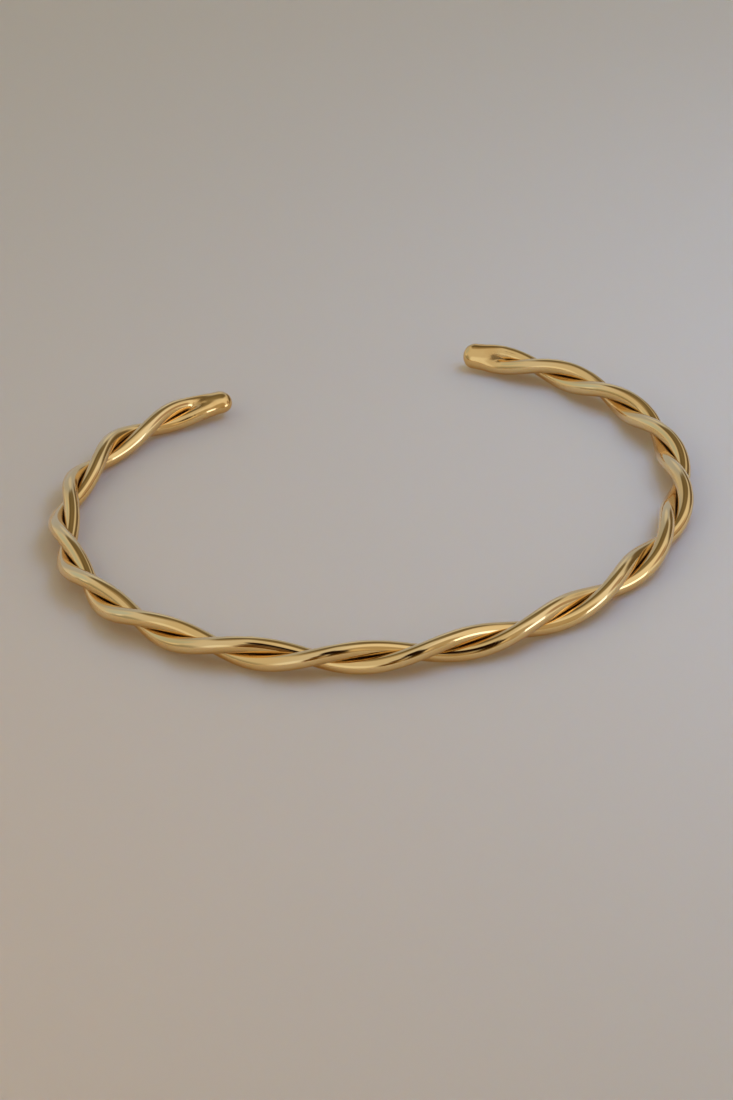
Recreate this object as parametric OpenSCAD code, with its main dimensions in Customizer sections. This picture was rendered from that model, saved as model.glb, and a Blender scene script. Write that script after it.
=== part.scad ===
// Open cuff bangle: two round wires twisted together and soldered into a rounded end at each side of the mouth.
// It lies flat on z = 0 with the middle of its length at the front, towards -Y, and its mouth at the back.
// Sizes are in millimetres. The origin is the middle of the underside of the box that holds it.

/* [Wire] */
// Diameter of each of the two round wires
wire_d = 1.5; // [1.2:0.1:2]
// Clearance between the two wires along the line where they lie against each other
wire_gap = 0.05; // [0.04:0.01:0.1]

/* [Twist] */
// Length of one full turn of the twist at the front of the cuff
lay_front = 19.1; // [14:0.1:26]
// Length of one full turn of the twist beside the soldered ends
lay_ends = 16.6; // [12:0.1:24]
// Where the first wire stands in the pair at the front, in degrees up from the outer side
twist_start = 35; // [0:1:180]

/* [Bow] */
// Length of the cuff along its middle line, from tip to tip
cuff_length = 152.5; // [140:0.5:156]
// Bend radius of the middle line at the left tip
bend_left_tip = 20.5; // [18:0.5:30]
// Bend radius of the middle line at the left side
bend_left_side = 25.5; // [24:0.5:30]
// Bend radius of the middle line at the front
bend_front = 33; // [26:0.5:40]
// Bend radius of the middle line at the right side
bend_right_side = 26.5; // [24:0.5:30]
// Bend radius of the middle line at the right tip
bend_right_tip = 28.5; // [18:0.5:32]

/* [Soldered ends] */
// Length of each soldered end, which isn't twisted
end_length = 4; // [3:0.1:6]
// Width of a soldered end, across the two wires
end_width = 2.7; // [2.2:0.1:3]
// Thickness of a soldered end
end_thick = 1.9; // [1.5:0.1:2.4]
// Length of the round dome that closes a soldered end
end_dome = 1.3; // [0.8:0.1:2]
// Half thickness of the solder in the groove where the wires enter a soldered end
solder_fill = 0.5; // [0.3:0.05:0.7]
// Clearance between a wire's cut face and the soldered end
seat_gap = 0.05; // [0.04:0.01:0.1]

/* [Hidden] */

// Colours
pale_gold = "#D8B26E";
solder_gold = "#CFA55C";

// Fineness of the swept solids
wire_sides = 16;
wire_steps = 180;
end_sides = 24;
shank_steps = 7;
dome_steps = 6;

// Directions and small helpers
up = [0, 0, 1];
half_turn = 180;
full_turn = 360;
function unit(v) = v / norm(v);
function ease(t) = t * t * (3 - 2 * t);

// Derived lengths
half_length = cuff_length / 2;
end_base = half_length - end_length;
wire_reach = end_base - seat_gap;
pair_offset = (wire_d + wire_gap) / 2;
pair_reach = pair_offset + wire_d / 2;

// The many-sided wire has the round wire's area, so its corners stand a little proud of the round one
side_angle = full_turn / wire_sides;
corner_r = wire_d / 2 * sqrt(2 * PI / (wire_sides * sin(side_angle)));

// Middle line. Its bend, in radians per mm, goes evenly from one named radius to the next.
// Places along it are lengths s from the front middle, below 0 on the left and above 0 on the right.
quarter = cuff_length / 4;
bends = [
    [-2 * quarter, 1 / bend_left_tip],
    [-quarter, 1 / bend_left_side],
    [0, 1 / bend_front],
    [quarter, 1 / bend_right_side],
    [2 * quarter, 1 / bend_right_tip]
];
function bend_at(s) = lookup(s, bends);

// Angle in plan turned between two places of the same quarter: the mean bend times the length, in degrees
function turned(from, to) = (bend_at(from) + bend_at(to)) / 2 * (to - from) * half_turn / PI;

// Direction in plan at a place, 0 along +X at the front
function plan_angle(s) =
    s > quarter ? turned(0, quarter) + turned(quarter, s)
    : s < -quarter ? turned(0, -quarter) + turned(-quarter, s)
    : turned(0, s);
function along(s) = [cos(plan_angle(s)), sin(plan_angle(s)), 0];
function outward(s) = [sin(plan_angle(s)), -cos(plan_angle(s)), 0];

// Points of the middle line from s = 0 outwards: each one is the last one plus a step in the direction between them
line_steps = 305;
line_step = half_length / line_steps;
function walk(side) = [
    for (i = 0, p = [0, 0, 0]; i <= line_steps; p = p + side * line_step * along(side * (i + 0.5) * line_step), i = i + 1) p
];
right_walk = walk(1);
left_walk = walk(-1);

// Point of the middle line at any place, before the cuff is centred
function line_point(s) =
    let (table = s < 0 ? left_walk : right_walk)
    let (place = min(abs(s) / line_step, line_steps - 0.001))
    let (i = floor(place))
    table[i] + (place - i) * (table[i + 1] - table[i]);

// Twist. The length of a turn changes evenly from the front to the ends, so the angle turned is a logarithm.
lay_change = (lay_ends - lay_front) / end_base;
function turn_from_front(s) =
    abs(lay_change) < 0.0001 ? full_turn * s / lay_front
    : full_turn / lay_change * ln(1 + lay_change * s / lay_front);

// The angle stays as it is inside the soldered ends
function twist_at(s) = twist_start + sign(s) * turn_from_front(min(abs(s), end_base));

// Direction from the middle line to the first wire
function pair_direction(s) = cos(twist_at(s)) * outward(s) + sin(twist_at(s)) * up;

// Point of a wire's own middle. Side 1 is the first wire and side -1 is the second, opposite it.
function wire_point(side, s) = line_point(s) + side * pair_offset * pair_direction(s);

// Places of a wire's sections
wire_step = 2 * wire_reach / wire_steps;
function wire_place(i) = -wire_reach + i * wire_step;

// A section stands square to the wire, but the two cut faces stand square to the middle line
function section_axis(side, i) =
    i == 0 || i == wire_steps ? along(wire_place(i))
    : unit(wire_point(side, wire_place(i) + wire_step / 2) - wire_point(side, wire_place(i) - wire_step / 2));

// Corners of one section, counted from its level outer side upwards
function wire_section(side, i) =
    let (middle = wire_point(side, wire_place(i)))
    let (axis = section_axis(side, i))
    let (level = unit(cross(axis, up)))
    let (rise = cross(level, axis))
    [for (k = [0:wire_sides - 1]) middle + corner_r * (cos(k * side_angle) * level + sin(k * side_angle) * rise)];

wire_a_sections = [for (i = [0:wire_steps]) wire_section(1, i)];
wire_b_sections = [for (i = [0:wire_steps]) wire_section(-1, i)];

// Outline of a soldered end, as its reach from the middle line in a direction, counted from the first wire.
// The two wires in outline are two circles that touch there, and the solder rounds the groove between them.
function wires_outline(a) = pair_reach * abs(cos(a));
function filled_outline(a) = pow(pow(wires_outline(a), 4) + pow(solder_fill, 4), 1 / 4);
function oval_outline(a) = 1 / sqrt(pow(2 * cos(a) / end_width, 2) + pow(2 * sin(a) / end_thick, 2));

// Distance from an end's base and how much of the full section stands there, for each of its sections
shank_length = end_length - end_dome;
shank_rows = [for (i = [0:shank_steps]) [i / shank_steps * shank_length, ease(i / shank_steps), 1]];
dome_rows = [
    for (i = [1:dome_steps - 1])
        let (a = 90 * i / dome_steps)
        [shank_length + end_dome * sin(a), 1, cos(a)]
];
end_rows = concat(shank_rows, dome_rows);

// One section of the end on the side -1 (left) or 1 (right), from a row of distance, roundness and size
function end_section(side, row) =
    let (s = side * (end_base + row[0]))
    let (out = pair_direction(s))
    let (rise = cross(along(s), out))
    [
        for (k = [0:end_sides - 1])
            let (a = full_turn * k / end_sides)
            let (reach = row[2] * ((1 - row[1]) * filled_outline(a) + row[1] * oval_outline(a)))
            line_point(s) + reach * (cos(a) * out + sin(a) * rise)
    ];
function end_sections(side) = [for (row = end_rows) end_section(side, row)];
function end_tip(side) = line_point(side * half_length);
left_sections = end_sections(-1);
right_sections = end_sections(1);

// Box of the whole cuff, from which its place is worked out
corners = [
    for (list = [wire_a_sections, wire_b_sections, left_sections, right_sections])
        for (section = list)
            for (p = section) p
];
box_low = [for (k = [0:2]) min([for (p = corners) p[k]])];
box_high = [for (k = [0:2]) max([for (p = corners) p[k]])];
box_foot = [(box_low[0] + box_high[0]) / 2, (box_low[1] + box_high[1]) / 2, box_low[2]];

// Faces of a solid through sections of n corners: its side, then its two flat faces
function side_faces(n, count) = [
    for (i = [0:count - 2])
        for (k = [0:n - 1])
            let (here = i * n + k)
            let (next = i * n + (k + 1) % n)
            for (face = [[here, here + n, next], [next, here + n, next + n]]) face
];
function first_face(n) = [[for (k = [0:n - 1]) k]];
function last_face(n, count) = [[for (k = [n - 1:-1:0]) (count - 1) * n + k]];
function tip_faces(n, count) = [
    for (k = [0:n - 1]) [(count - 1) * n + k, count * n, (count - 1) * n + (k + 1) % n]
];
function turned_over(faces) = [for (face = faces) [for (k = [len(face) - 1:-1:0]) face[k]]];
function flat(sections) = [for (section = sections) for (p = section) p];

// A wire: a round rod swept along its twist
module swept_wire(sections) {
    count = len(sections);
    faces = concat(
        side_faces(wire_sides, count), first_face(wire_sides), last_face(wire_sides, count));
    translate(-box_foot)
        polyhedron(points = flat(sections), faces = turned_over(faces), convexity = 10);
}

// A soldered end: the pair's outline runs into an oval and closes in a dome
module soldered_end(sections, side) {
    count = len(sections);
    faces = concat(
        side_faces(end_sides, count), first_face(end_sides), tip_faces(end_sides, count));
    translate(-box_foot)
        polyhedron(
            points = concat(flat(sections), [end_tip(side)]),
            faces = side > 0 ? faces : turned_over(faces),
            convexity = 4);
}

module wire_a() {
    color(pale_gold) swept_wire(wire_a_sections);
}

module wire_b() {
    color(pale_gold) swept_wire(wire_b_sections);
}

module left_end() {
    color(solder_gold) soldered_end(left_sections, -1);
}

module right_end() {
    color(solder_gold) soldered_end(right_sections, 1);
}

wire_a();
wire_b();
left_end();
right_end();
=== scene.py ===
# %% [markdown]
# # An open cuff bangle of twisted gold wire
#
# The object is a cuff: two round, polished wires are twisted loosely together, bent into an open bow, and
# soldered into one rounded end at each side of the mouth. Everything that the eye enjoys here is reflection,
# so the lesson goes from exact curves to smooth surfaces, then to the room that they mirror, and only then to
# the metal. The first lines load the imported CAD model, which fixes every size and place.

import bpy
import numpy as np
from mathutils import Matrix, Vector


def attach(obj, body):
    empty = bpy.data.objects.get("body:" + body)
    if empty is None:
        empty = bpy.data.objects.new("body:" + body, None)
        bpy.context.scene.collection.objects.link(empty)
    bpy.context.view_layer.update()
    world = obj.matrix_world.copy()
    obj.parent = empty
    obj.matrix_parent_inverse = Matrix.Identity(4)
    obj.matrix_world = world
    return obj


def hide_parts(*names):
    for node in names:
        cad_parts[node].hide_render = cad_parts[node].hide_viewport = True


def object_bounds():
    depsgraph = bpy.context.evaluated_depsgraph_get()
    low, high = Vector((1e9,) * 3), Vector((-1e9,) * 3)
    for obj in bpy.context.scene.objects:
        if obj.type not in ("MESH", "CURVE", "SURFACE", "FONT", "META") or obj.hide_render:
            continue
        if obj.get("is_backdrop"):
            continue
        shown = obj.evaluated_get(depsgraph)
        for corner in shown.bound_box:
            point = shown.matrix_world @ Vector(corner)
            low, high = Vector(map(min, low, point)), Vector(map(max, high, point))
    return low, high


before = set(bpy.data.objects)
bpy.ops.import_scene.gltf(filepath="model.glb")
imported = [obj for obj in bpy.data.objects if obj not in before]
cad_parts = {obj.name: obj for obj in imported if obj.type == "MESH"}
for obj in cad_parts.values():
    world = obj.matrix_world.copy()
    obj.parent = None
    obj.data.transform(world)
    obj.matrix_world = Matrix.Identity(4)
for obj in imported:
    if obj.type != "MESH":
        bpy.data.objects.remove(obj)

# %% [markdown]
# ## Tools and units
#
# numpy works out the shapes, bpy is Blender itself, and mathutils turns the camera and the lamps. A jeweller
# thinks in millimetres and Blender in metres. So every shape is worked out in millimetres, and one factor
# shrinks it when it becomes a mesh. The box of the CAD model is kept first, because the cuff has to fit in
# it.

CAD_BOX = [list(corner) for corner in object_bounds()]
MM = 0.001
FULL_TURN = 2 * np.pi
UP = np.array([0.0, 0.0, 1.0])
print("CAD box in mm:", [[round(x / MM, 2) for x in corner] for corner in CAD_BOX])

# %% [markdown]
# ## Sizes
#
# These are the real sizes of the cuff in millimetres, the same that its CAD source uses. Three values differ
# on purpose. In the CAD model the wires keep a hair of clearance, so that each is a solid of its own. On the
# real cuff they touch, and through a clearance the pale floor would shine as a bright hairline. So here each
# wire is 0.01 mm thicker and 0.02 mm nearer to the middle line, and they meet there. The ends are a hair
# narrower than in the CAD model: there they have 24 flats, and a truly curved skin bulges beyond flats.

# %% Named sizes
# Wires: their diameter, and how far a wire's middle and its outer side are from the middle line
WIRE_D = 1.51
PAIR_OFFSET = WIRE_D / 2
PAIR_REACH = WIRE_D

# Twist: length of a full turn at the front and beside the ends, and where the first wire stands at the front
LAY_FRONT = 19.1
LAY_ENDS = 16.6
TWIST_START = np.radians(35)

# Bow: length from tip to tip, and bend radii at the left tip, left side, front, right side and right tip
CUFF_LENGTH = 152.5
BEND_RADII = [20.5, 25.5, 33.0, 26.5, 28.5]

# Soldered ends: length, width across the wires, thickness, and length of the dome that closes them
END_LENGTH = 4.0
END_WIDTH = 2.64
END_THICK = 1.9
END_DOME = 1.3

HALF_LENGTH = CUFF_LENGTH / 2
END_BASE = HALF_LENGTH - END_LENGTH
print("turns of the twist, about:", round(2 * END_BASE / ((LAY_FRONT + LAY_ENDS) / 2), 1))

# %% [markdown]
# ## The middle line
#
# A cuff is formed over a mandrel by hand, so it isn't a true circle: it is flatter at the front and bends in
# more tightly at one tip. A circle or an ellipse would miss that. A draughtsman's way is to say how strongly
# the line bends at a few stations and to let the bend change evenly between them. Adding up the bend gives
# the direction, and adding up the directions gives the line. numpy does both sums for all places at once.

# %% Middle line
# Places are lengths along the line, 0 at the front, below it on the left and above it on the right
FINE_PLACES = 30001
places = np.linspace(-HALF_LENGTH, HALF_LENGTH, FINE_PLACES)
stations = np.linspace(-HALF_LENGTH, HALF_LENGTH, len(BEND_RADII))


def running_sum(values, steps):
    """Area under a curve so far: each step adds its length times the mean of the values at its two ends."""
    means = (values[1:] + values[:-1]) / 2
    return np.concatenate([[0], np.cumsum(means * steps)])


bend = np.interp(places, stations, 1 / np.array(BEND_RADII))
steps = np.diff(places)
plan_angles = running_sum(bend, steps)
plan_angles -= np.interp(0, places, plan_angles)
line_x = running_sum(np.cos(plan_angles), steps)
line_y = running_sum(np.sin(plan_angles), steps)
print("the tips point", np.round(np.degrees(plan_angles[[0, -1]]), 1), "degrees from the front")

# %% Points and directions of the middle line


def line_point(s):
    """Point of the middle line at the places s, at height 0."""
    return np.stack([np.interp(s, places, line_x), np.interp(s, places, line_y), np.zeros_like(s)], -1)


def along(s):
    """Direction of the middle line: cosine and sine of its angle in plan."""
    angle = np.interp(s, places, plan_angles)
    return np.stack([np.cos(angle), np.sin(angle), np.zeros_like(s)], -1)


def outward(s):
    """Level direction away from the hollow, a quarter turn clockwise from the line's own."""
    t = along(s)
    return np.stack([t[..., 1], -t[..., 0], t[..., 2]], -1)


across_mouth = np.array([line_x[-1] - line_x[0], line_y[-1] - line_y[0]])
print("the tips' middles are", round(np.linalg.norm(across_mouth), 1), "mm apart")

# %% [markdown]
# ## The twist
#
# The two wires circle the middle line like the strands of a rope, always opposite each other. The turns are
# a little shorter near the ends, where the pair was held in a vice. When the length of a turn changes evenly,
# the angle turned is a logarithm of the distance, as in the CAD source. Inside the soldered ends nothing
# turns. A wire is springy and can't stop turning at a point, and a mirror would show that as a kink. So the
# distance isn't cut off at the solder but levels out there, by a soft minimum.

# %% Twist
LAY_CHANGE = (LAY_ENDS - LAY_FRONT) / END_BASE

# In mm: how gently the turning stops, and half the short stretch over which a wire's lean is measured
EASY_STOP = 0.4
NUDGE = 0.01


def twist_at(s):
    """Angle of the first wire, up from the outer side: the start angle plus a full turn for each lay.

    The distance x from the front levels out at b, the solder's base: b - e ln(1 + exp((b - x) / e)), where e
    is the easy stop."""
    away = END_BASE - EASY_STOP * np.logaddexp(0, (END_BASE - np.abs(s)) / EASY_STOP)
    turned = FULL_TURN / LAY_CHANGE * np.log(1 + LAY_CHANGE * away / LAY_FRONT)
    return TWIST_START + np.sign(s) * turned


def pair_direction(s):
    """Direction from the middle line to the first wire: cos(twist) outwards plus sin(twist) up."""
    angle = twist_at(s)[..., None]
    return np.cos(angle) * outward(s) + np.sin(angle) * UP


def wire_lean(s):
    """Angle between a wire and the middle line: its tangent is the offset times the twist for each mm."""
    turned = twist_at(s + NUDGE) - twist_at(s - NUDGE)
    return np.arctan(PAIR_OFFSET * turned / (2 * NUDGE))


def wire_middle(side, s):
    """Middle of a wire: the line's point plus or minus the offset in the pair's direction."""
    return line_point(s) + side * PAIR_OFFSET * pair_direction(s)


print("the wires lean by", np.round(np.degrees(wire_lean(np.array([5.0, END_BASE - 5.0]))), 1), "degrees")

# %% [markdown]
# ## Rows of points become a closed skin
#
# Each piece here is a stack of closed outlines, like the ribs of a boat, so one function can skin them all.
# It joins each outline to the next with four-sided faces and closes both ends with a fan to a single point.
# Whether the faces point outwards depends on the way round, so the function works out the volume and turns
# the faces over if it comes out negative.

# %% Skin function


def skin(rows, first_tip, last_tip):
    """Points and faces of a closed skin over rows of points, an array of rows x sides x 3.

    Point k of row i has the number i x sides + k. A face joins it to the next points along and round, and
    the two tips come last."""
    count, sides = rows.shape[:2]
    points = np.concatenate([rows.reshape(-1, 3), [first_tip, last_tip]])
    ring = np.arange(sides)
    next_ring = (ring + 1) % sides
    starts = np.arange(count - 1)[:, None] * sides
    here, beside = starts + ring, starts + next_ring
    quads = np.stack([here, here + sides, beside + sides, beside], -1).reshape(-1, 4)
    last = (count - 1) * sides
    first_fan = np.stack([ring, next_ring, np.full(sides, count * sides)], -1)
    last_fan = np.stack([last + next_ring, last + ring, np.full(sides, count * sides + 1)], -1)
    fans = np.concatenate([first_fan, last_fan])
    if signed_volume(points, quads, fans) < 0:
        quads, fans = quads[:, ::-1], fans[:, ::-1]
    return points, quads, fans


def signed_volume(points, quads, fans):
    """Volume from triangles: a sixth of the sum of a . (b x c), positive when the faces point outwards."""
    corners = points[np.concatenate([quads[:, :3], quads[:, [0, 2, 3]], fans])]
    a, b, c = corners[:, 0], corners[:, 1], corners[:, 2]
    return np.einsum("ij,ij->", a, np.cross(b, c)) / 6


# %% Mesh objects


def make_piece(name, points, quads, fans):
    """A smooth mesh object from points in mm. The object stays at the origin, its place is in its mesh."""
    mesh = bpy.data.meshes.new(name)
    mesh.from_pydata(points * MM, [], quads.tolist() + fans.tolist())
    mesh.polygons.foreach_set("use_smooth", np.ones(len(mesh.polygons), bool))
    mesh.update()
    piece = bpy.data.objects.new(name, mesh)
    bpy.context.scene.collection.objects.link(piece)
    volume = signed_volume(points, quads, fans)
    print(name, len(quads) * 2 + len(fans), "triangles,", round(volume, 1), "mm3")
    return piece


def keep_attributes(piece, rod, groove):
    """Stores both attributes, with the two tips' values taken from the first and last rows."""
    rod_all = np.concatenate([rod.reshape(-1, 3), [rod[0].mean(0), rod[-1].mean(0)]])
    groove_all = np.concatenate([groove.ravel(), [groove[0].mean(), groove[-1].mean()]])
    piece.data.attributes.new("rod", "FLOAT_VECTOR", "POINT").data.foreach_set("vector", rod_all.ravel())
    piece.data.attributes.new("groove", "FLOAT", "POINT").data.foreach_set("value", groove_all)


# %% [markdown]
# ## Two swept wires
#
# Drawn wire is round in a section square to the wire itself, not to the middle line. So each rib stands
# square to the wire's own direction, which comes from the difference of its neighbours. A curve object with a
# round bevel would be quicker, but it can't follow the twist and carry the two attributes that the metal
# needs: "rod", the place that a point had on the straight wire before it was twisted, and "groove", how deep
# a point lies between the wires. Each wire runs half a millimetre into the solder and thins out there, as a
# wire does that was filed for soldering, so that its cut is hidden.

# %% Wire rows
# Points round a wire, and rows along it
WIRE_SIDES = 64
WIRE_ROWS = 1201

# How far a wire runs into the solder, by what share it is thinned there, and over what length
RUN_IN = 0.5
THINNED = 0.12
THINNED_LENGTH = 0.8


def unit(v):
    """Vectors shortened to length 1."""
    return v / np.linalg.norm(v, axis=-1, keepdims=True)


def smooth(t):
    """Goes from 0 to 1 with a level start and finish: t squared times (3 - 2t)."""
    t = np.clip(t, 0, 1)
    return t * t * (3 - 2 * t)


def swept_wire(side):
    """Rows of a round wire, its two tips, its points on the straight rod, and their depth in the groove.

    A row is the wire's middle plus the radius times (cos a level + sin a rise), for all angles a. The depth
    is 1 at the middle line and 0 at the pair's reach."""
    s = np.linspace(-END_BASE - RUN_IN, END_BASE + RUN_IN, WIRE_ROWS)
    middle = wire_middle(side, s)
    axis = unit(np.gradient(middle, axis=0))
    level = unit(np.cross(axis, UP))
    rise = np.cross(level, axis)
    angle = np.linspace(0, FULL_TURN, WIRE_SIDES, endpoint=False)
    round_part = np.cos(angle)[:, None] * level[:, None] + np.sin(angle)[:, None] * rise[:, None]
    into_solder = np.abs(s) - (END_BASE + RUN_IN - THINNED_LENGTH)
    radius = WIRE_D / 2 * (1 - THINNED * smooth(into_solder / THINNED_LENGTH))
    rows = middle[:, None] + radius[:, None, None] * round_part
    length = np.concatenate([[0], np.cumsum(np.linalg.norm(np.diff(middle, axis=0), axis=1))])
    rod = np.stack(np.broadcast_arrays(
        WIRE_D / 2 * np.cos(angle), WIRE_D / 2 * np.sin(angle), length[:, None]), -1)
    from_line = np.linalg.norm(rows - line_point(s)[:, None], axis=-1)
    return rows, middle[[0, -1]], rod, 1 - from_line / PAIR_REACH


made = {"wire_a": swept_wire(1), "wire_b": swept_wire(-1)}
print("each wire is", [round(rod[..., 2].max(), 1) for rows, tips, rod, groove in made.values()], "mm long")

# %% [markdown]
# ## Two soldered ends
#
# At each tip the wires stop turning, solder has filled the groove between them, and the end was filed to a
# rounded oval. Its outline is worked out round the middle line. Two touching circles are, seen from the point
# where they touch, simply the reach times the cosine, and wires that lean are cut as ellipses, a little
# longer across. Solder creeps up the groove ahead of the end, so there its skin starts as a tongue just under
# the wires' own and rises above it, at so slight a slope that no edge shows. A fourth-power mean of the wires
# and the fill rounds the groove, a smooth step turns that outline into an oval, and a blunt arc closes the
# dome.

# %% Outline of an end
# Distances are in mm from the end's base, below 0 on the tongue that runs ahead of it
TONGUE = 2.0
PROUD_FROM = -0.3
OVAL_FROM = -0.3
FILLED_AT = 1.3
SHANK = END_LENGTH - END_DOME

# The skin's reach as a share of the wires', at the tongue's start and where it stands proud of them
TUCKED_UNDER = 0.965
STANDS_PROUD = 1.004

# Half thickness of the full fill, and the power of the mean that rounds the groove
FILL_AT_END = 0.84
MEAN_POWER = 4


def end_reach(a, distance, size, lean):
    """Reach of an end's outline in the directions a, for rows at distances from its base.

    Wires: reach |cos a| / (cos^2 a + sin^2 a cos^2 lean). Oval: 1 / root of (2 cos a / width)^2 + (2 sin a /
    thickness)^2. The roundness is the share of the oval, and the size shrinks the whole in the dome."""
    cut = np.cos(a) ** 2 + (np.sin(a) * np.cos(lean)) ** 2
    tucked = smooth((distance + TONGUE) / (PROUD_FROM + TONGUE))
    wires = PAIR_REACH * np.abs(np.cos(a)) / cut * (TUCKED_UNDER + (STANDS_PROUD - TUCKED_UNDER) * tucked)
    fill = FILL_AT_END * smooth((distance + TONGUE) / (FILLED_AT + TONGUE))
    filled = (wires ** MEAN_POWER + fill ** MEAN_POWER) ** (1 / MEAN_POWER)
    oval = 1 / np.sqrt((2 * np.cos(a) / END_WIDTH) ** 2 + (2 * np.sin(a) / END_THICK) ** 2)
    roundness = smooth((distance - OVAL_FROM) / (SHANK - OVAL_FROM))
    return size * ((1 - roundness) * filled + roundness * oval)


# %% End rows
# Points round an end, rows on its shank and in its dome, and how blunt the dome is, where 2 is an ellipse
END_SIDES = 160
SHANK_ROWS = 72
DOME_ROWS = 28
BLUNTNESS = 2.15


def soldered_end(side):
    """Rows of an end on the side -1 (left) or 1 (right), its two tips, rod places and groove depth.

    The dome's rows go out by sin t and shrink by cos t, both to the power 2 / bluntness. A point is the
    line's plus the reach times (cos a out + sin a rise)."""
    shank = np.linspace(-TONGUE, SHANK, SHANK_ROWS)
    arc = np.linspace(0, np.pi / 2, DOME_ROWS, endpoint=False)[1:]
    arc_out, arc_size = np.sin(arc) ** (2 / BLUNTNESS), np.cos(arc) ** (2 / BLUNTNESS)
    distance = np.concatenate([shank, SHANK + END_DOME * arc_out])[:, None]
    size = np.concatenate([np.ones(SHANK_ROWS), arc_size])[:, None]
    a = np.linspace(0, FULL_TURN, END_SIDES, endpoint=False)
    s = side * (END_BASE + distance[:, 0])
    reach = end_reach(a, distance, size, wire_lean(s)[:, None])
    out = pair_direction(s)
    rise = np.cross(along(s), out)
    across, upright = reach * np.cos(a), reach * np.sin(a)
    rows = line_point(s)[:, None] + across[..., None] * out[:, None] + upright[..., None] * rise[:, None]
    rod = np.stack([across, upright, np.broadcast_to(distance, across.shape)], -1)
    groove = (1 - reach / PAIR_REACH) * (1 - smooth(distance / SHANK))
    tips = line_point(np.array([s[0], side * HALF_LENGTH]))
    return rows, tips, rod, groove


made.update({"left_end": soldered_end(-1), "right_end": soldered_end(1)})
print("rows and sides:", {node: rows.shape[:2] for node, (rows, tips, rod, groove) in made.items()})

# %% [markdown]
# ## Set down on the floor
#
# The CAD model stands on the middle of the underside of its box, and so does this one: the box of all new
# points is measured, and everything moves by its foot. Then the four meshes are made.

# %% Make the pieces
everything = np.concatenate([rows.reshape(-1, 3) for rows, tips, rod, groove in made.values()])
low, high = everything.min(0), everything.max(0)
FOOT = np.array([(low[0] + high[0]) / 2, (low[1] + high[1]) / 2, low[2]])
print("new box in mm:", np.round(low - FOOT, 2), np.round(high - FOOT, 2))

pieces = {}
for node, (rows, tips, rod, groove) in made.items():
    first_tip, last_tip = tips - FOOT
    pieces[node] = make_piece(node + "_polished", *skin(rows - FOOT, first_tip, last_tip))
    keep_attributes(pieces[node], rod, groove)

# %% [markdown]
# ## The camera
#
# The picture was taken from in front and above, a little from the left, with a long lens from about a foot
# away. The place of the camera is given as a photographer would: how far round, how high, how far off, and
# how much it leans. The cuff isn't quite in the middle of the picture, so the camera finally turns by the
# small angle that puts the cuff's centre on its measured pixel.

# %% Where the camera stands
# The lens's focal length and the aim are in pixels of the picture, counted from its upper left corner
PICTURE_WIDTH, PICTURE_HEIGHT = 733, 1100
FOCAL_PIXELS = 2827
AIM_PIXEL_X, AIM_PIXEL_Y = 373.3, 500.4
CAMERA_ROUND, CAMERA_HIGH, CAMERA_LEAN = np.radians([-7.59, 31.14, -3.71])
CAMERA_AWAY = 270 * MM


def direction_to(round_angle, high_angle):
    """Direction from the cuff: 0 round is the front and a positive angle goes to the right."""
    level = np.cos(high_angle)
    return np.array([np.sin(round_angle) * level, -np.cos(round_angle) * level, np.sin(high_angle)])


line_ends = np.array([[line_x.min(), line_y.min()], [line_x.max(), line_y.max()]])
aim = Vector((*(line_ends.mean(0) - FOOT[:2]), -FOOT[2])) * MM
back = Vector(direction_to(CAMERA_ROUND, CAMERA_HIGH))
right = (-back).cross(Vector(UP)).normalized()
level_axes = Matrix([right, back.cross(right), back]).transposed()
seen_at = Vector(((AIM_PIXEL_X - PICTURE_WIDTH / 2) / FOCAL_PIXELS,
                  (PICTURE_HEIGHT / 2 - AIM_PIXEL_Y) / FOCAL_PIXELS, -1))
turn_to_aim = seen_at.rotation_difference(Vector((0, 0, -1))).to_matrix()
camera_axes = level_axes @ Matrix.Rotation(CAMERA_LEAN, 3, "Z") @ turn_to_aim
print("the camera aims at", np.round(np.array(aim) / MM, 1), "mm")

# %% Camera
# In an upright picture, Blender lays the sensor's width in mm along the height
SENSOR = 36.0
NEAREST_SEEN = 10 * MM

camera = bpy.data.objects.new("camera", bpy.data.cameras.new("camera"))
camera.data.sensor_width = SENSOR
camera.data.lens = FOCAL_PIXELS * SENSOR / PICTURE_HEIGHT
camera.data.clip_start = NEAREST_SEEN
camera.matrix_world = Matrix.Translation(aim + CAMERA_AWAY * back) @ camera_axes.to_4x4()
bpy.context.scene.collection.objects.link(camera)
bpy.context.scene.camera = camera
print("lens in mm:", round(camera.data.lens, 1), "camera at", np.round(camera.matrix_world.translation, 3))

# %% [markdown]
# ## Colours and nodes
#
# Colours are written as painters and web pages write them, in sRGB hex, and one function turns them into the
# linear numbers that the renderer adds and multiplies. A second function adds a node to a tree, sets its
# values and makes its links, so that each material below reads as a short list. Most sockets are found by
# their names. Math nodes call all their inputs by one name, so theirs are numbered 0, 1 and 2. A Mix node
# has sockets for each kind of value, and those for colours have the numbers that are named here.

# %% Helpers for colours and nodes
SHARE, UNDER, OVER, MIXED = 0, 6, 7, 2


def linear(hex_colour):
    """sRGB hex to linear RGBA: divide by 12.92 below 0.04045, else ((c + 0.055) / 1.055) to the power 2.4."""
    c = np.array([int(hex_colour[i:i + 2], 16) / 255 for i in (1, 3, 5)])
    c = np.where(c <= 0.04045, c / 12.92, ((c + 0.055) / 1.055) ** 2.4)
    return (*c.tolist(), 1.0)


def add(tree, kind, values=None, **settings):
    """Adds a node. Values go to its inputs by name or number, or are sockets to link them from; settings are
    its own."""
    node = tree.nodes.new("ShaderNode" + kind)
    for name, value in settings.items():
        setattr(node, name, value)
    for name, value in (values or {}).items():
        if isinstance(value, bpy.types.NodeSocket):
            tree.links.new(value, node.inputs[name])
        else:
            node.inputs[name].default_value = value
    return node


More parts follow.
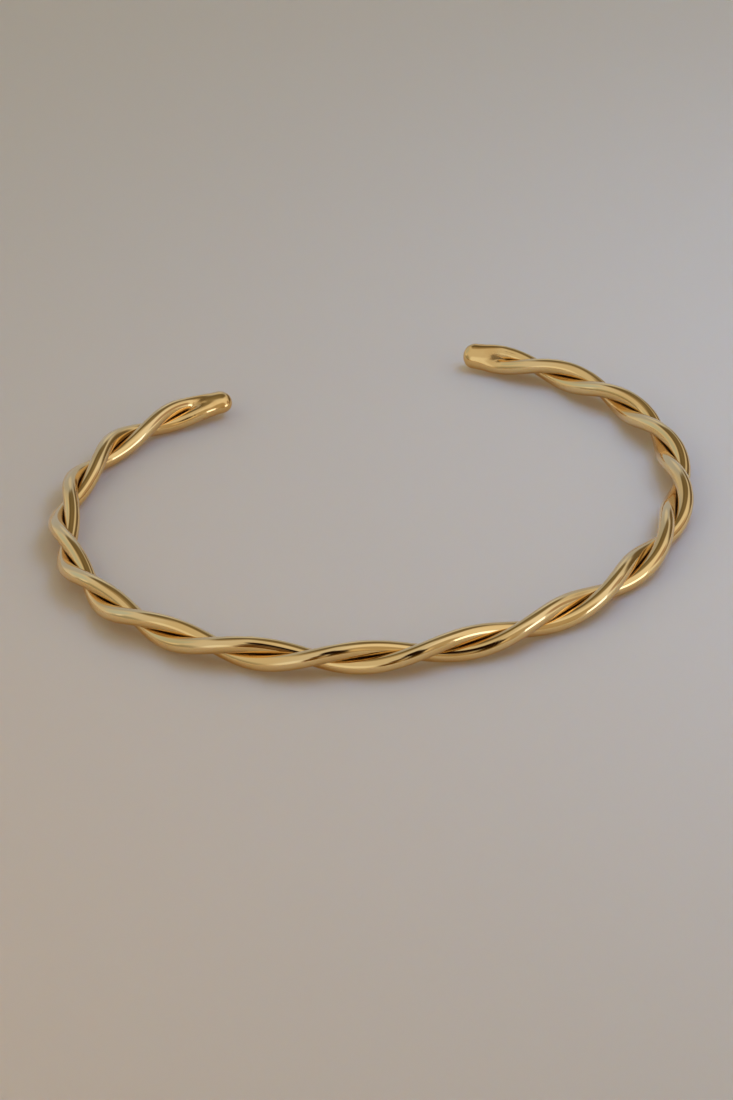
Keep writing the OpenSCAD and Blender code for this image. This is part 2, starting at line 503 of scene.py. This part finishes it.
print("middle grey #808080 is linear", round(linear("#808080")[0], 3))

# %% [markdown]
# ## Floor
#
# The floor is a plain matt sheet of warm, pale paper, large enough that no edge shows from any side. A pale
# sheet isn't quite opaque: light that lands beside the wires goes in, wanders for some millimetres and comes
# out under them. That is why the shadow of a thin bright thing on a pale ground is soft and brown, not black.
# The shader's own subsurface sockets do this: the scale is the way that the light wanders, and red light
# wanders further than blue.

# %% Floor
FLOOR_HALF = 2.0
FLOOR_COLOUR = "#C4B69C"
LIGHT_WANDERS = 14 * MM
FLOOR_FINISH = {
    "Base Color": linear(FLOOR_COLOUR), "Roughness": 0.9, "Specular IOR Level": 0.2,
    "Subsurface Weight": 1.0, "Subsurface Scale": LIGHT_WANDERS, "Subsurface Radius": (1.0, 0.7, 0.45)}

floor_mesh = bpy.data.meshes.new("floor")
floor_mesh.from_pydata(
    [(-FLOOR_HALF, -FLOOR_HALF, 0), (FLOOR_HALF, -FLOOR_HALF, 0),
     (FLOOR_HALF, FLOOR_HALF, 0), (-FLOOR_HALF, FLOOR_HALF, 0)], [], [(0, 1, 2, 3)])
floor = bpy.data.objects.new("floor", floor_mesh)
bpy.context.scene.collection.objects.link(floor)
floor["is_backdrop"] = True

floor_paper = bpy.data.materials.new("matt_cream_paper")
floor_paper.use_nodes = True
floor_shader = floor_paper.node_tree.nodes["Principled BSDF"]
for socket, value in FLOOR_FINISH.items():
    floor_shader.inputs[socket].default_value = value
floor_mesh.materials.append(floor_paper)
print("the floor is", 2 * FLOOR_HALF, "m wide, and light wanders", round(LIGHT_WANDERS / MM), "mm in it")

# %% [markdown]
# ## Softboxes
#
# A window stands low on the right, nearly a metre off. It isn't large in the cuff's sky, and that is what
# makes the short white streaks with crisp ends on the wires: a lamp's size decides how long its streak is,
# and its power only how white. Two near softboxes hang level over the floor and light it alone, cool on the
# right and warm on the left, as daylight and a lit room do, so that the floor grows paler and bluer towards
# the right. A tilted one would leave a dark edge on the floor behind it. They are hidden from mirrors,
# because a box so near would show in the gold.

# %% Softboxes


def softbox(name, round_angle, high_angle, away, width, height, power, colour, hangs_level=False):
    """A rectangular lamp in a direction in degrees. Its distance and sizes are in metres, its power in watts.

    It faces the cuff, or straight down where it hangs level."""
    lamp = bpy.data.lights.new(name, "AREA")
    lamp.shape, lamp.size, lamp.size_y = "RECTANGLE", width, height
    lamp.energy, lamp.color = power, linear(colour)[:3]
    stand = bpy.data.objects.new(name, lamp)
    direction = Vector(direction_to(*np.radians([round_angle, high_angle])))
    facing_from = Vector(UP) if hangs_level else direction
    turn = facing_from.to_track_quat("Z", "Y").to_matrix().to_4x4()
    stand.matrix_world = Matrix.Translation(direction * away) @ turn
    stand.visible_camera = False
    bpy.context.scene.collection.objects.link(stand)
    print(name, "stands at", np.round(direction * away, 2), "m")
    return stand


softbox(
    "right_window", round_angle=53, high_angle=11, away=0.9, width=0.38, height=0.29,
    power=0.72, colour="#C7D2FF")
right_fill = softbox(
    "right_fill", round_angle=82, high_angle=57, away=0.166, width=0.10, height=0.10,
    power=0.21, colour="#9DBBFF", hangs_level=True)
left_fill = softbox(
    "left_fill", round_angle=-55, high_angle=40, away=0.20, width=0.12, height=0.12,
    power=0.06, colour="#FFCF96", hangs_level=True)
right_fill.visible_glossy = left_fill.visible_glossy = False

# %% [markdown]
# ## The room in the gold
#
# Polished gold hardly shows a colour of its own: it shows the room, squeezed into a strip as wide as the
# wire. Each line on it is a thing in the room. Along its top runs a dark line, a shelf high at the back. The
# short black dashes at the front are the camera and its stand. Modelling a room for this would be a waste,
# because a round wire only asks how light each direction is. So the room is painted on the sky: a list of
# soft-edged discs, each with its direction, its radius and its tone, laid over one another like paper
# cut-outs.

# %% Tones of the room
ROOM_TONE = "#D2D3D6"
ROOM_TONES = {
    # name: degrees round, degrees high, radius and softness of its edge in degrees, colour
    "bright_right_ceiling": (66, 46, 29, 13, "#EEEFF6"),
    "right_wall_glow": (60, 4, 22, 9, "#E9F0FE"),
    "right_wall_shade": (84, 24, 11, 6, "#AC9A90"),
    "right_wall_foot": (94, 6, 8, 5, "#9E9184"),
    "left_window_glow": (-46, 15, 13, 6, "#EBF2FF"),
    "low_left_corner": (-88, -2, 22, 8, "#9DA09C"),
    "left_lamp_glow": (-103, 17, 5, 4, "#E6E8EE"),
    "left_blue_shade": (-124, 28, 14, 8, "#BBCEE2"),
    "low_back_wall": (178, 14, 34, 10, "#AEB8CC"),
    "back_shelf_upper_left": (-142, 68, 10, 6, "#A59D8E"),
    "back_shelf_left": (-166, 56, 12, 5, "#766E5C"),
    "back_shelf": (178, 57, 14, 5, "#6F6857"),
    "back_shelf_upper_right": (146, 63, 13, 6, "#857E6D"),
    "back_shelf_right": (150, 48, 14, 5, "#766E5C"),
    "pale_back_door": (171, 27, 9, 5, "#CDD2DC"),
    "right_back_corner": (120, 9, 17, 8, "#6C6252"),
    "right_back_corner_left": (139, 13, 9, 5, "#6C6252"),
    "warm_front_wall": (26, 34, 21, 6, "#B5AB9A"),
    "low_front_wall": (16, 2, 22, 7, "#B0A595"),
    "bright_door_edge": (17, 30, 4.5, 2.5, "#D6CAB6"),
    "bright_door_edge_low": (17, 20, 4.5, 2.5, "#D6CAB6"),
    "dark_stand_foot": (-17, 0, 9, 4, "#6E5530"),
    "dark_stand": (-19, 14, 9, 4, "#654820"),
    "dark_stand_high": (-16, 31, 8, 4, "#5A3F1B"),
    "dark_stand_top": (-12, 60, 6, 3, "#362310"),
    "camera": (-6, 48, 10, 3, "#1C1004"),
    "camera_foot": (3, 10, 8, 5, "#766244"),
    "camera_side": (4, 37, 9.5, 2, "#241606"),
    "camera_low": (4, 22, 8, 2.5, "#302008"),
    "lit_gap": (-8.5, 8, 3.5, 2, "#A89878"),
    "lit_gap_high": (-8.5, 18, 3.5, 2, "#A08E6C"),
}
print("tones in the room:", len(ROOM_TONES))

# %% [markdown]
# ## Discs on the sky
#
# The closer a direction is to a disc's centre, the larger is the dot product of the two, so a smooth step
# over that product draws the disc. The camera itself sees one plain grey instead, should it look past the
# floor. The renderer could also aim extra rays at the brightest parts of a sky. A sky as soft as this has no
# need of them, and without them the picture is ready sooner.

# %% Room
PLAIN_BACKDROP = "#B9B7B6"

world = bpy.data.worlds.new("room")
bpy.context.scene.world = world
world.use_nodes = True
world.cycles.sampling_method = "NONE"
room = world.node_tree
room.nodes.clear()
looked_at = add(room, "TexCoord").outputs["Generated"]
tone = linear(ROOM_TONE)
for round_angle, high_angle, radius, softness, colour in ROOM_TONES.values():
    centre = direction_to(*np.radians([round_angle, high_angle]))
    closeness = add(room, "VectorMath", {0: looked_at, 1: centre}, operation="DOT_PRODUCT")
    inside = add(room, "MapRange", {
        "Value": closeness.outputs["Value"], "From Min": np.cos(np.radians(radius + softness)),
        "From Max": np.cos(np.radians(radius - softness))}, interpolation_type="SMOOTHSTEP")
    tone = add(room, "Mix", {
        SHARE: inside.outputs["Result"], UNDER: tone, OVER: linear(colour)}, data_type="RGBA").outputs[MIXED]
seen = add(room, "LightPath").outputs["Is Camera Ray"]
shown = add(room, "Mix", {
    SHARE: seen, UNDER: tone, OVER: linear(PLAIN_BACKDROP)}, data_type="RGBA").outputs[MIXED]
glow = add(room, "Background", {"Color": shown}).outputs["Background"]
add(room, "OutputWorld", {"Surface": glow})
print("room:", len(room.nodes), "nodes")

# %% [markdown]
# ## Tone of the picture
#
# The room's tones were chosen as they should look in the picture. The standard view shows them so, while a
# filmic one would grey the highlights of the gold.

# %% Tone of the picture
bpy.context.scene.view_settings.view_transform = "Standard"
print("view:", bpy.context.scene.view_settings.view_transform)

# %% [markdown]
# ## What both metals share
#
# The wires and the ends were plated and worn together, so on both the crests are a little paler where the
# plating is rubbed. Deep in the groove, where the wires shade each other, both get the same painted shade: a
# dark brown with a ragged edge, which is also made rougher. Both follow the attribute "groove", which is 0 on
# the outermost skin and 1 where the wires touch. The patterns follow "rod", which counts in millimetres, so
# the scale of a noise is a number of patches for each millimetre. Noise stays mostly between 0.3 and 0.7, so
# the nodes read it over that range or a part of it.

# %% A plated metal, its worn crests and its painted groove shade
GOLD = "#EFC986"
WORN_GOLD = "#F3D59C"
# Painted shade: the dark brown laid deep in the groove, where the wires shade each other
PAINTED_GROOVE_SHADE = "#5A3A14"

# The outer sixth of the depth is the crest, and its very top is half worn
CREST_DEPTH, CREST_WORN = 0.16, 0.5

# The painted groove shade starts at about two thirds of the depth, and noise of about 0.45 mm makes its edge
# ragged
SHADE_EDGE_NOISE_PER_MM, RAGGEDNESS = 2.2, 0.16
GROOVE_SHADE_FROM, GROOVE_SHADE_FULL = 0.74, 0.98
GROOVE_SHADE_ROUGHER = 0.4


def new_metal(name):
    """A metal and what its patterns read: its tree, shader, places on the rod and depths in the groove."""
    metal = bpy.data.materials.new(name)
    metal.use_nodes = True
    tree = metal.node_tree
    shader = tree.nodes["Principled BSDF"]
    shader.inputs["Metallic"].default_value = 1.0
    place = add(tree, "Attribute", attribute_name="rod").outputs["Vector"]
    depth = add(tree, "Attribute", attribute_name="groove").outputs["Fac"]
    return metal, tree, shader, place, depth


def wear_and_groove_shade(tree, place, depth):
    """Shares of worn crest, falling evenly with depth, and of painted shade in the groove, rising with depth
    plus noise.
    """
    crest = add(tree, "MapRange", {
        "Value": depth, "From Min": 0.0, "From Max": CREST_DEPTH,
        "To Min": CREST_WORN, "To Max": 0.0}).outputs["Result"]
    shade_edge_noise = add(tree, "TexNoise", {"Vector": place, "Scale": SHADE_EDGE_NOISE_PER_MM, "Detail": 3.0}).outputs["Fac"]
    ragged = add(tree, "Math", {
        0: shade_edge_noise, 1: RAGGEDNESS, 2: depth}, operation="MULTIPLY_ADD").outputs["Value"]
    # This share is painted shade: it darkens the deepest part of the groove
    groove_shade = add(tree, "MapRange", {
        "Value": ragged, "From Min": GROOVE_SHADE_FROM, "From Max": GROOVE_SHADE_FULL},
        interpolation_type="SMOOTHSTEP").outputs["Result"]
    return crest, groove_shade


print("a crumb of the crust is about", round(1 / SHADE_EDGE_NOISE_PER_MM, 2), "mm wide")

# %% [markdown]
# ## Gold plated wire
#
# The wire is brass, drawn through a die, twisted, formed by hand, polished on a soft wheel and gold plated.
# A metal's base colour is what it mirrors from straight ahead, and the shader itself makes the grazing rim
# paler. Between the wires the light strikes gold twice or more, so its colour multiplies, and the groove
# glows deep orange by itself. Each way of working left a trace that the eye reads as "real metal":
#
# - the plating is thicker in some stretches than in others, so its yellow drifts over about 6 mm;
# - forming over a mandrel left waves of about 2 mm that are a few thousandths of a millimetre high. They bend
#   the mirrored lines ever so slightly, and without them the wire looks computed;
# - the die left fine lines along the wire. They follow the straight wire's own places, round the twist;
# - hairline scratches from wear cross those lines at a slant.
#
# Lines and scratches are noise that is stretched along the wire: many waves to the millimetre across, few
# along.

# %% Wire metal: patterns
wire_gold, tree, shader, rod_place, depth = new_metal("gold_plated_drawn_brass_wire")
crest, groove_shade = wear_and_groove_shade(tree, rod_place, depth)

PLATING_PER_MM, WAVES_PER_MM = 0.16, 0.5
plating = add(tree, "TexNoise", {"Vector": rod_place, "Scale": PLATING_PER_MM, "Detail": 2.0}).outputs["Fac"]
formed = add(tree, "TexNoise", {"Vector": rod_place, "Scale": WAVES_PER_MM, "Detail": 1.0}).outputs["Fac"]

# Real die lines are 0.02 mm apart, too fine to show, so these are 0.08 mm apart and 4 mm long
DIE_LINES_PER_MM = (12, 12, 0.25)
stretched = add(tree, "VectorMath", {
    0: rod_place, 1: DIE_LINES_PER_MM}, operation="MULTIPLY").outputs["Vector"]
die_lines = add(tree, "TexNoise", {"Vector": stretched, "Scale": 1.0, "Detail": 2.0}).outputs["Fac"]

# Real hairlines are 0.01 mm wide, too fine to show. These are 0.05 mm wide, 3 mm long and lean by 20 to 30
# degrees. Only the highest crests of the noise become a scratch
HAIRS_LEAN = (0.5, 0.35, 0)
HAIRS_PER_MM = (9, 9, 0.35)
HAIR_FROM, HAIR_FULL = 0.66, 0.74
leaning = add(tree, "Mapping", {"Vector": rod_place, "Rotation": HAIRS_LEAN}).outputs["Vector"]
drawn_out = add(tree, "VectorMath", {0: leaning, 1: HAIRS_PER_MM}, operation="MULTIPLY").outputs["Vector"]
hairs = add(tree, "TexNoise", {"Vector": drawn_out, "Scale": 1.0, "Detail": 1.0}).outputs["Fac"]
scratch = add(tree, "MapRange", {
    "Value": hairs, "From Min": HAIR_FROM, "From Max": HAIR_FULL}).outputs["Result"]
print("wire metal so far:", len(tree.nodes), "nodes")

# %% [markdown]
# ## From patterns to gold
#
# The patterns now drive the shader. Colour goes from gold to its deeper tone, then to the worn crest and last
# to the painted groove shade, which lies over all. A mirror polish has a roughness near 0.05; the die lines
# lift it to 0.07, a scratch adds a little and the painted groove shade much. Two bumps are chained, the waves
# first and the lines on top of them, each with its true height.

# %% Wire metal: colour, roughness and relief
DEEP_GOLD = "#E6B96E"
DEEPEST_SHARE = 0.5
deeper = add(tree, "MapRange", {
    "Value": plating, "From Min": 0.4, "From Max": 0.7,
    "To Min": 0.0, "To Max": DEEPEST_SHARE}).outputs["Result"]
toned = add(tree, "Mix", {
    SHARE: deeper, UNDER: linear(GOLD), OVER: linear(DEEP_GOLD)}, data_type="RGBA").outputs[MIXED]
worn = add(tree, "Mix", {
    SHARE: crest, UNDER: toned, OVER: linear(WORN_GOLD)}, data_type="RGBA").outputs[MIXED]
# Last the painted shade of the groove goes over all
colour = add(tree, "Mix", {
    SHARE: groove_shade, UNDER: worn, OVER: linear(PAINTED_GROOVE_SHADE)}, data_type="RGBA").outputs[MIXED]
tree.links.new(colour, shader.inputs["Base Color"])

MIRROR_ROUGH, DIE_LINE_ROUGH, SCRATCH_ROUGHER = 0.04, 0.07, 0.10
lined = add(tree, "MapRange", {
    "Value": die_lines, "From Min": 0.3, "From Max": 0.7,
    "To Min": MIRROR_ROUGH, "To Max": DIE_LINE_ROUGH}).outputs["Result"]
scratched = add(tree, "Math", {
    0: scratch, 1: SCRATCH_ROUGHER, 2: lined}, operation="MULTIPLY_ADD").outputs["Value"]
rough = add(tree, "Math", {
    0: groove_shade, 1: GROOVE_SHADE_ROUGHER, 2: scratched}, operation="MULTIPLY_ADD").outputs["Value"]
tree.links.new(rough, shader.inputs["Roughness"])

WAVE_HEIGHT = 0.006 * MM
LINE_HEIGHT = 0.00003 * MM
wavy = add(tree, "Bump", {"Height": formed, "Strength": 1.0, "Distance": WAVE_HEIGHT}).outputs["Normal"]
relief = add(tree, "Bump", {
    "Height": die_lines, "Strength": 1.0, "Distance": LINE_HEIGHT, "Normal": wavy}).outputs["Normal"]
tree.links.new(relief, shader.inputs["Normal"])
print("wire metal:", len(tree.nodes), "nodes")

# %% [markdown]
# ## Gold plated solder
#
# The ends are hard solder, filed to shape, smoothed with emery and plated with the wires. Solder holds less
# copper and the plating takes to it a little differently, so its gold is a shade deeper. A file never leaves
# a perfect curve, only many flats of about a millimetre that the wheel then rounds over, so the mirrored room
# wobbles more here than on the wire. Emery leaves its lines along the end. Molten solder boils a little as it
# sets, and the file opens a few of its bubbles: pinholes of a tenth of a millimetre, matt inside. The skin
# has no real hollow there, so their darkness is painted shade. A Voronoi pattern suits them, because it gives
# the distance to scattered points and the skin cuts only few.

# %% Solder metal: patterns
solder_gold, tree, shader, end_place, depth = new_metal("gold_plated_filed_solder")
crest, groove_shade = wear_and_groove_shade(tree, end_place, depth)

# Patches of 2 mm in the plating and flats of about 1.2 mm from the file
PATCHES_PER_MM, FLATS_PER_MM = 0.5, 0.8
plating = add(tree, "TexNoise", {"Vector": end_place, "Scale": PATCHES_PER_MM, "Detail": 2.0}).outputs["Fac"]
filed = add(tree, "TexNoise", {"Vector": end_place, "Scale": FLATS_PER_MM, "Detail": 1.0}).outputs["Fac"]

# Real emery lines are 0.01 mm apart, too fine to show, so these are 0.07 mm apart and 0.8 mm long
EMERY_LINES_PER_MM = (14, 14, 1.2)
stretched = add(tree, "VectorMath", {
    0: end_place, 1: EMERY_LINES_PER_MM}, operation="MULTIPLY").outputs["Vector"]
emery_lines = add(tree, "TexNoise", {"Vector": stretched, "Scale": 1.0, "Detail": 2.0}).outputs["Fac"]

# Points 0.9 mm apart, each the middle of a bubble of 0.1 mm. The distance counts in the pattern's own cells
BUBBLES_PER_MM = 1.1
HOLE_INSIDE, HOLE_EDGE = 0.03, 0.07
bubbles = add(tree, "TexVoronoi", {
    "Vector": end_place, "Scale": BUBBLES_PER_MM}, feature="F1").outputs["Distance"]
pinhole = add(tree, "MapRange", {
    "Value": bubbles, "From Min": HOLE_INSIDE, "From Max": HOLE_EDGE,
    "To Min": 1.0, "To Max": 0.0}).outputs["Result"]
print("solder metal so far:", len(tree.nodes), "nodes")

# %% [markdown]
# ## From patterns to solder
#
# The layers go on as on the wire, with two changes. The skin's tongue still lies on the wires, so there it
# has their gold and their worn crest, and the solder's own tone comes in slowly past its base: no border
# shows. And no wheel reaches into the crotch where the wires part, so the solder stays satin there and
# mirrors only softly. A third bump sinks the pinholes.

# %% Solder metal: colour
SOLDER_GOLD = "#EDC580"
SOLDER_DEEP = "#E0AF68"
# The pinholes' dark brown is painted shade, in place of the hollow that the skin doesn't have
PINHOLE_SHADE = "#5E4218"
DEEPEST_SOLDER_SHARE = 0.7

# Distances in mm past the end's base, between which the wires' gold gives way to the solder's
WIRE_GOLD_TO, SOLDER_GOLD_FROM = -0.8, 1.4
distance = add(tree, "SeparateXYZ", {"Vector": end_place}).outputs["Z"]
wire_share = add(tree, "MapRange", {
    "Value": distance, "From Min": WIRE_GOLD_TO, "From Max": SOLDER_GOLD_FROM,
    "To Min": 1.0, "To Max": 0.0}, interpolation_type="SMOOTHSTEP").outputs["Result"]
wire_crest = add(tree, "Math", {0: crest, 1: wire_share}, operation="MULTIPLY").outputs["Value"]

deeper = add(tree, "MapRange", {
    "Value": plating, "From Min": 0.35, "From Max": 0.65,
    "To Min": 0.0, "To Max": DEEPEST_SOLDER_SHARE}).outputs["Result"]
layers = add(tree, "Mix", {
    SHARE: deeper, UNDER: linear(SOLDER_GOLD), OVER: linear(SOLDER_DEEP)}, data_type="RGBA").outputs[MIXED]
# Over the solder go the wires' gold and crest, then the painted shade of the pinholes and of the groove
for share, over in [
        (wire_share, GOLD), (wire_crest, WORN_GOLD), (pinhole, PINHOLE_SHADE), (groove_shade, PAINTED_GROOVE_SHADE)]:
    layers = add(tree, "Mix", {
        SHARE: share, UNDER: layers, OVER: linear(over)}, data_type="RGBA").outputs[MIXED]
tree.links.new(layers, shader.inputs["Base Color"])
print("solder metal with its colour:", len(tree.nodes), "nodes")

# %% Solder metal: roughness and relief
EMERY_FINE_ROUGH, EMERY_LINE_ROUGH = 0.055, 0.11
SATIN_ROUGHER, HOLE_ROUGHER = 0.24, 0.4
lined = add(tree, "MapRange", {
    "Value": emery_lines, "From Min": 0.3, "From Max": 0.7,
    "To Min": EMERY_FINE_ROUGH, "To Max": EMERY_LINE_ROUGH}).outputs["Result"]

# Where the satin begins and where it is full: in mm past the end's base, and in depth below the outer skin
SATIN_FROM, SATIN_FULL = -0.5, 0.2
CROTCH_FROM, CROTCH_DEEP = 0.12, 0.5
past_wire = add(tree, "MapRange", {
    "Value": distance, "From Min": SATIN_FROM, "From Max": SATIN_FULL},
    interpolation_type="SMOOTHSTEP").outputs["Result"]
unpolished = add(tree, "MapRange", {
    "Value": depth, "From Min": CROTCH_FROM, "From Max": CROTCH_DEEP,
    "To Min": 0.0, "To Max": SATIN_ROUGHER}).outputs["Result"]
rough = lined
for share, rougher in [(past_wire, unpolished), (pinhole, HOLE_ROUGHER), (groove_shade, GROOVE_SHADE_ROUGHER)]:
    rough = add(tree, "Math", {0: share, 1: rougher, 2: rough}, operation="MULTIPLY_ADD").outputs["Value"]
tree.links.new(rough, shader.inputs["Roughness"])

FLAT_HEIGHT = 0.008 * MM
HOLE_DEPTH = 0.02 * MM
flats = add(tree, "Bump", {"Height": filed, "Strength": 1.0, "Distance": FLAT_HEIGHT}).outputs["Normal"]
lines = add(tree, "Bump", {
    "Height": emery_lines, "Strength": 1.0, "Distance": LINE_HEIGHT, "Normal": flats}).outputs["Normal"]
relief = add(tree, "Bump", {
    "Height": pinhole, "Strength": 1.0, "Distance": HOLE_DEPTH, "Normal": lines},
    invert=True).outputs["Normal"]
tree.links.new(relief, shader.inputs["Normal"])
print("solder metal:", len(tree.nodes), "nodes")

# %% [markdown]
# ## A flat layout for textures
#
# A program without these node trees needs the finish as pictures, and a picture needs a flat layout of the
# skin. An automatic one would chop a twisted wire into hundreds of scraps. But the skin is a grid already:
# along the wire and round it. Unrolled it would be a ribbon of 151 by 4.7 mm, so it is cut into 12 lengths
# that lie in two columns on six shelves and nearly fill a square. The two fans go into a corner of their own.

# %% Flat layout
WIRES = ("wire_a", "wire_b")
WIRE_LENGTHS, WIRE_COLUMNS = 12, 2

# Shares of the square: the height that the shelves fill, and the radius and places of the fans above them
SHELVES_HIGH = 0.96
FAN_RADIUS = 0.015
FIRST_FAN_U, NEXT_FAN = 0.05, 0.1

# The gap at each edge of a length is a share of the length's own cell
LAYOUT_GAP = 0.01
QUAD_CORNERS, FAN_CORNERS = 4, 3


def lay_flat(piece, row_count, sides, lengths, columns):
    """Stores a layout: u is the share of a length along its column, v the share of a turn up its shelf.

    A face's corners are in order, so corner number c belongs to face c / 4, and that to row c / 4 / sides."""
    corners = np.empty(len(piece.data.loops), int)
    piece.data.loops.foreach_get("vertex_index", corners)
    row, side = corners // sides, corners % sides
    grid = QUAD_CORNERS * (row_count - 1) * sides
    quad = np.arange(grid) // QUAD_CORNERS
    seam = (quad % sides == sides - 1) & (side[:grid] == 0)
    rows_each = (row_count - 1) // lengths
    length_of = quad // sides // rows_each
    u_share = (row[:grid] - length_of * rows_each) / rows_each
    v_share = np.where(seam, sides, side[:grid]) / sides
    shelves = lengths // columns
    u = (length_of % columns + LAYOUT_GAP + (1 - 2 * LAYOUT_GAP) * u_share) / columns
    v = (length_of // columns + LAYOUT_GAP + (1 - 2 * LAYOUT_GAP) * v_share) / shelves * SHELVES_HIGH
    turn = FULL_TURN * side[grid:] / sides
    radius = np.where(corners[grid:] < row_count * sides, FAN_RADIUS, 0)
    which_fan = np.repeat([0, 1], FAN_CORNERS * sides)
    fan_u = FIRST_FAN_U + NEXT_FAN * which_fan + radius * np.cos(turn)
    fan_v = (1 + SHELVES_HIGH) / 2 + radius * np.sin(turn)
    layout = np.stack([np.concatenate([u, fan_u]), np.concatenate([v, fan_v])], -1)
    piece.data.uv_layers.new(name="OFBake").data.foreach_set("uv", layout.ravel())
    print(piece.name, "layout from", layout.min(0).round(3), "to", layout.max(0).round(3))


for node, piece in pieces.items():
    row_count, sides = made[node][0].shape[:2]
    lengths, columns = (WIRE_LENGTHS, WIRE_COLUMNS) if node in WIRES else (1, 1)
    lay_flat(piece, row_count, sides, lengths, columns)

# %% [markdown]
# ## Each piece takes its place in the frame
#
# Every new mesh replaces the CAD solid of its name, wears the metal that its slot names, and rides on the
# root, because nothing on a cuff moves against the rest of it.

# %% Riding, replacing and slots
for node, piece in pieces.items():
    is_wire = node in WIRES
    piece.data.materials.append(wire_gold if is_wire else solder_gold)
    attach(piece, "root")
    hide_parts(node)
    print(piece.name, "replaces", node, "in", piece.data.materials[0].name)

NEW_BOX = [list(corner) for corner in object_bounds()]
room_left = np.abs(CAD_BOX) - np.abs(NEW_BOX)
print("visual box in mm:", [[round(x / MM, 3) for x in corner] for corner in NEW_BOX])
print("room left inside the CAD box in mm:", np.round(room_left / MM, 4).tolist())
